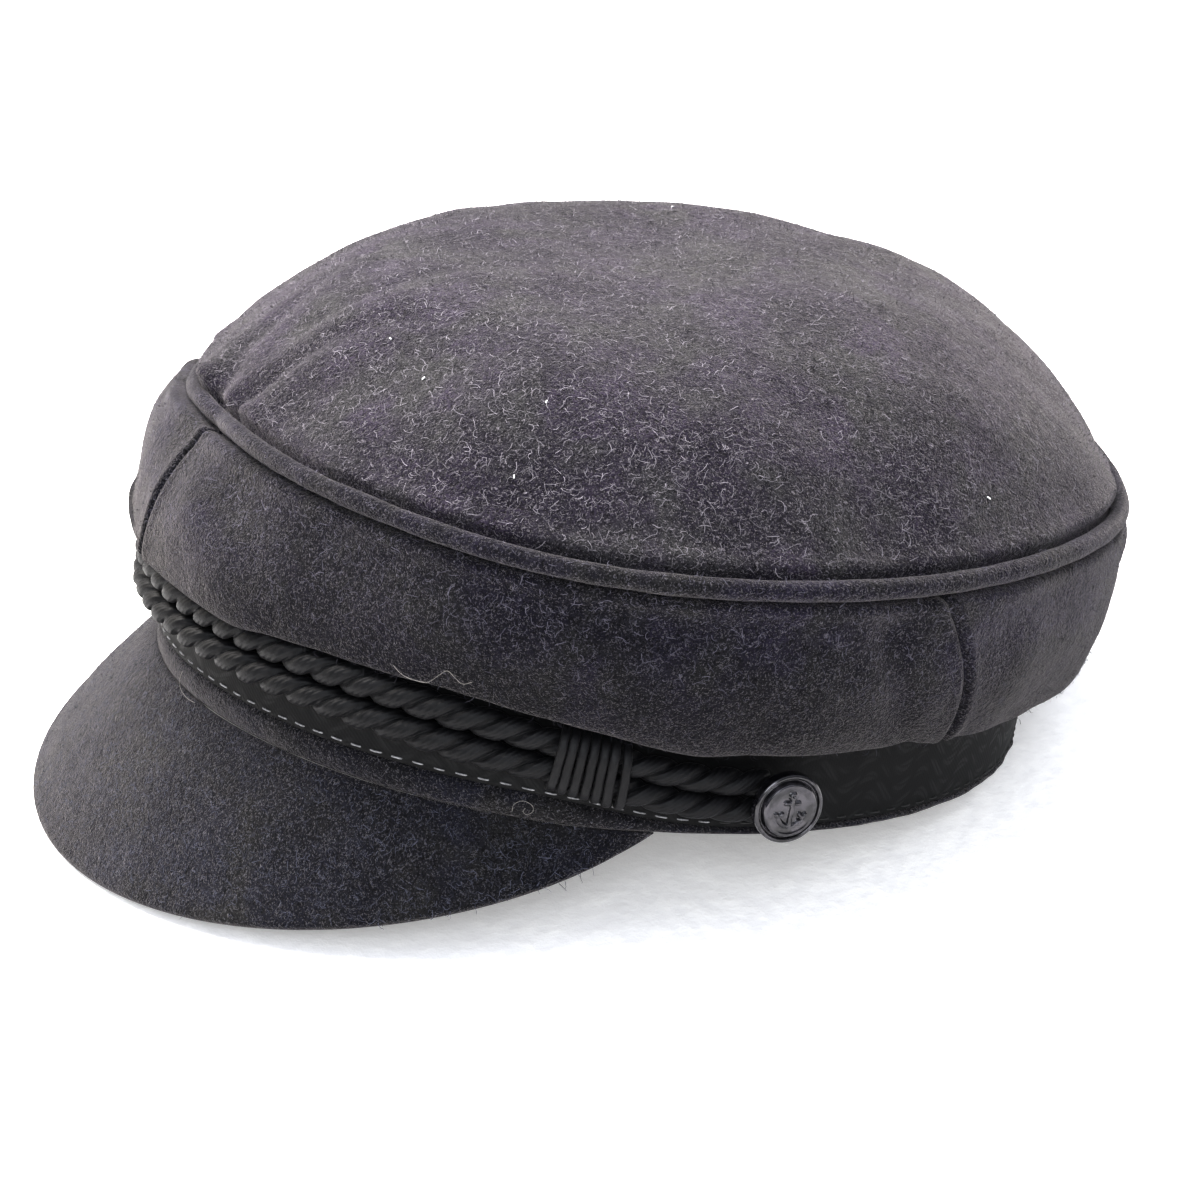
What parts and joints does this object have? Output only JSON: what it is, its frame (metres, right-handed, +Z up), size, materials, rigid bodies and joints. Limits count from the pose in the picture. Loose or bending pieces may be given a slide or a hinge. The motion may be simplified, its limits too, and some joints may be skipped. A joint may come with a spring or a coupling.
{
  "type": "skipper cap",
  "caption": "Soft wool skipper cap with a piped overhanging crown, ribbon-covered band, twin twisted ropes, side buttons and a curved peak.",
  "frame": {"origin": "under the middle of the cap, on the surface it rests on", "axes": "+X to the wearer's left, +Y from the peak to the back, +Z up from the surface"},
  "size_m": [0.2072, 0.2442, 0.1103],
  "materials": {
    "wool": "charcoal felted wool",
    "ribbon": "woven black ribbon, slightly satiny",
    "rope": "twisted black cord, satin",
    "button": "glossy dark gunmetal"
  },
  "bodies": {
    "root": {"crown_top": "wool", "side_front_left": "wool", "side_rear_left": "wool", "side_rear_right": "wool", "side_front_right": "wool", "crown_piping": "wool", "head_band": "wool", "band_ribbon": "ribbon", "peak": "wool", "rope_upper": "rope", "rope_lower": "rope", "rope_wrap_left": "rope", "rope_wrap_right": "rope", "button_left": "button", "button_right": "button"}
  },
  "joints": []
}
